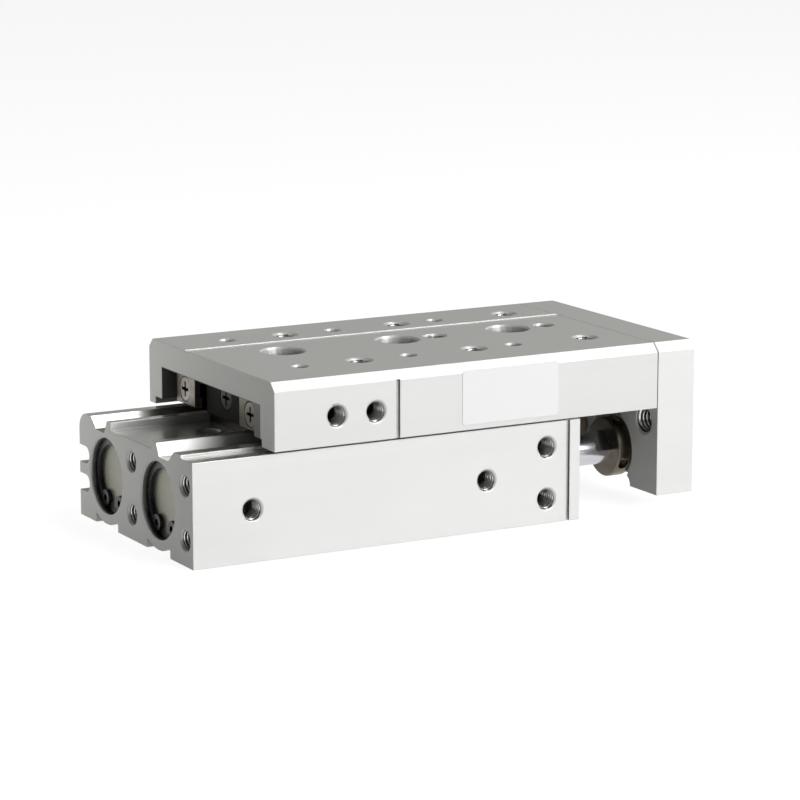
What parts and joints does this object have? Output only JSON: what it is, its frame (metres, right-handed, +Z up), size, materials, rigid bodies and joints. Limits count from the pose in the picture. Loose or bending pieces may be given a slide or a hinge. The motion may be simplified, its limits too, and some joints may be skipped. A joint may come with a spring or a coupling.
{
  "type": "pneumatic slide table",
  "caption": "Compact air-driven slide table: side-by-side cylinders in an extruded body push a roller-guided table with an end plate.",
  "frame": {"origin": "mouth of the middle body bolt hole on the body's base face, on the guide's centre line", "axes": "+X is the direction in which the table slides out, towards the end plate; +Z is up, out of the table's top; +Y is towards the sensor slots, away from the ports"},
  "size_m": [0.129, 0.065, 0.04],
  "materials": {
    "anodised_alloy": "satin clear anodised, fine extrusion lines",
    "ground_steel": "ground bearing steel",
    "chromed_rod": "hard chromed and polished",
    "dark_steel": "black oxide",
    "collar_steel": "turned, dark",
    "plated_steel": "nickel plated",
    "cap_alloy": "turned, lightly oiled",
    "rubber": "moulded rubber",
    "bronze": "sintered bronze",
    "magnet": "bonded magnet",
    "cage_brass": "stamped brass strip"
  },
  "bodies": {
    "base": {"body": "anodised_alloy", "head_cap_left": "cap_alloy", "head_cap_right": "cap_alloy", "head_ring_left": "dark_steel", "head_ring_right": "dark_steel", "head_o_rings": "rubber", "head_bumpers": "rubber", "rod_cover_left": "cap_alloy", "rod_cover_right": "cap_alloy", "cover_rings": "dark_steel", "cover_o_rings": "rubber", "rod_bushes": "bronze", "rod_seals": "rubber", "cover_bumpers": "rubber", "guide_block": "ground_steel", "guide_block_bolts": "dark_steel", "guide_wipers": "ground_steel", "wiper_screws": "dark_steel"},
    "slide": {"table": "anodised_alloy", "end_plate": "anodised_alloy", "end_plate_bolts": "dark_steel", "rail_left": "ground_steel", "rail_right": "ground_steel", "rail_bolts": "dark_steel", "rail_stops": "plated_steel", "rail_stop_screws": "plated_steel", "piston_rod_left": "chromed_rod", "piston_rod_right": "chromed_rod", "piston_left": "anodised_alloy", "piston_right": "anodised_alloy", "piston_seals": "rubber", "piston_magnets": "magnet", "rod_collars": "collar_steel", "rod_washers": "plated_steel", "rod_nuts": "plated_steel", "stop_pad": "bronze"},
    "cage_set_left": {"cage_left": "cage_brass", "rollers_left": "chromed_rod"},
    "cage_set_right": {"cage_right": "cage_brass", "rollers_right": "chromed_rod"}
  },
  "joints": [
    {"name": "table_slide", "type": "slide", "parent": "base", "child": "slide", "axis": [1, 0, 0], "range_m": [-0.019, 0.031]},
    {"name": "cage_left_slide", "type": "slide", "parent": "base", "child": "cage_set_left", "axis": [1, 0, 0], "range_m": [-0.0095, 0.0155]},
    {"name": "cage_right_slide", "type": "slide", "parent": "base", "child": "cage_set_right", "axis": [1, 0, 0], "range_m": [-0.0095, 0.0155]}
  ],
  "couplings": [
    {"joint": "cage_left_slide", "follows": "table_slide", "ratio": 0.5},
    {"joint": "cage_right_slide", "follows": "table_slide", "ratio": 0.5}
  ]
}
